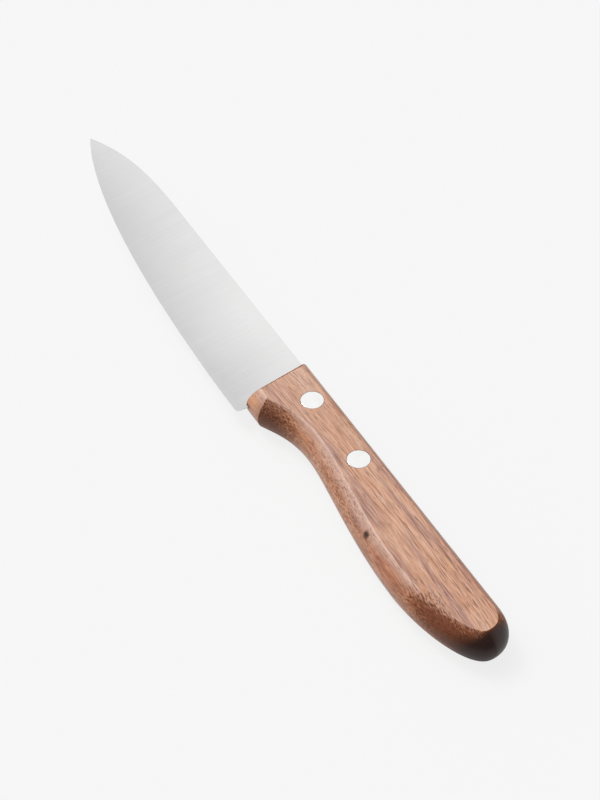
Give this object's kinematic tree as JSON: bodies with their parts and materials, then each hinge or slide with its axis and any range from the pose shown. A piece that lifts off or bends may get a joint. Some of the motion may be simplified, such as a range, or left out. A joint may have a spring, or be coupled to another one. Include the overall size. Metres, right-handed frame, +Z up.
{
  "type": "kitchen knife",
  "caption": "Kitchen utility knife with a slim satin steel blade whose tang is riveted into a slotted walnut handle with a finger guard and a swelling belly.",
  "frame": {"origin": "middle of the knife's bounding box, on the surface that it lies on", "axes": "+X along the knife from tip to butt, +Y across it from cutting edge to back, +Z up from the lower flat of the handle to the upper"},
  "size_m": [0.2302, 0.0252, 0.0115],
  "materials": {
    "satin_steel": "satin, fine grind lines across the blade",
    "walnut": "oiled walnut, open pores along the handle",
    "rivet_aluminium": "ground flush, satin"
  },
  "bodies": {
    "root": {"blade": "satin_steel", "handle": "walnut", "front_rivet_tube": "rivet_aluminium", "front_rivet_pin": "rivet_aluminium", "rear_rivet_tube": "rivet_aluminium", "rear_rivet_pin": "rivet_aluminium"}
  },
  "joints": []
}
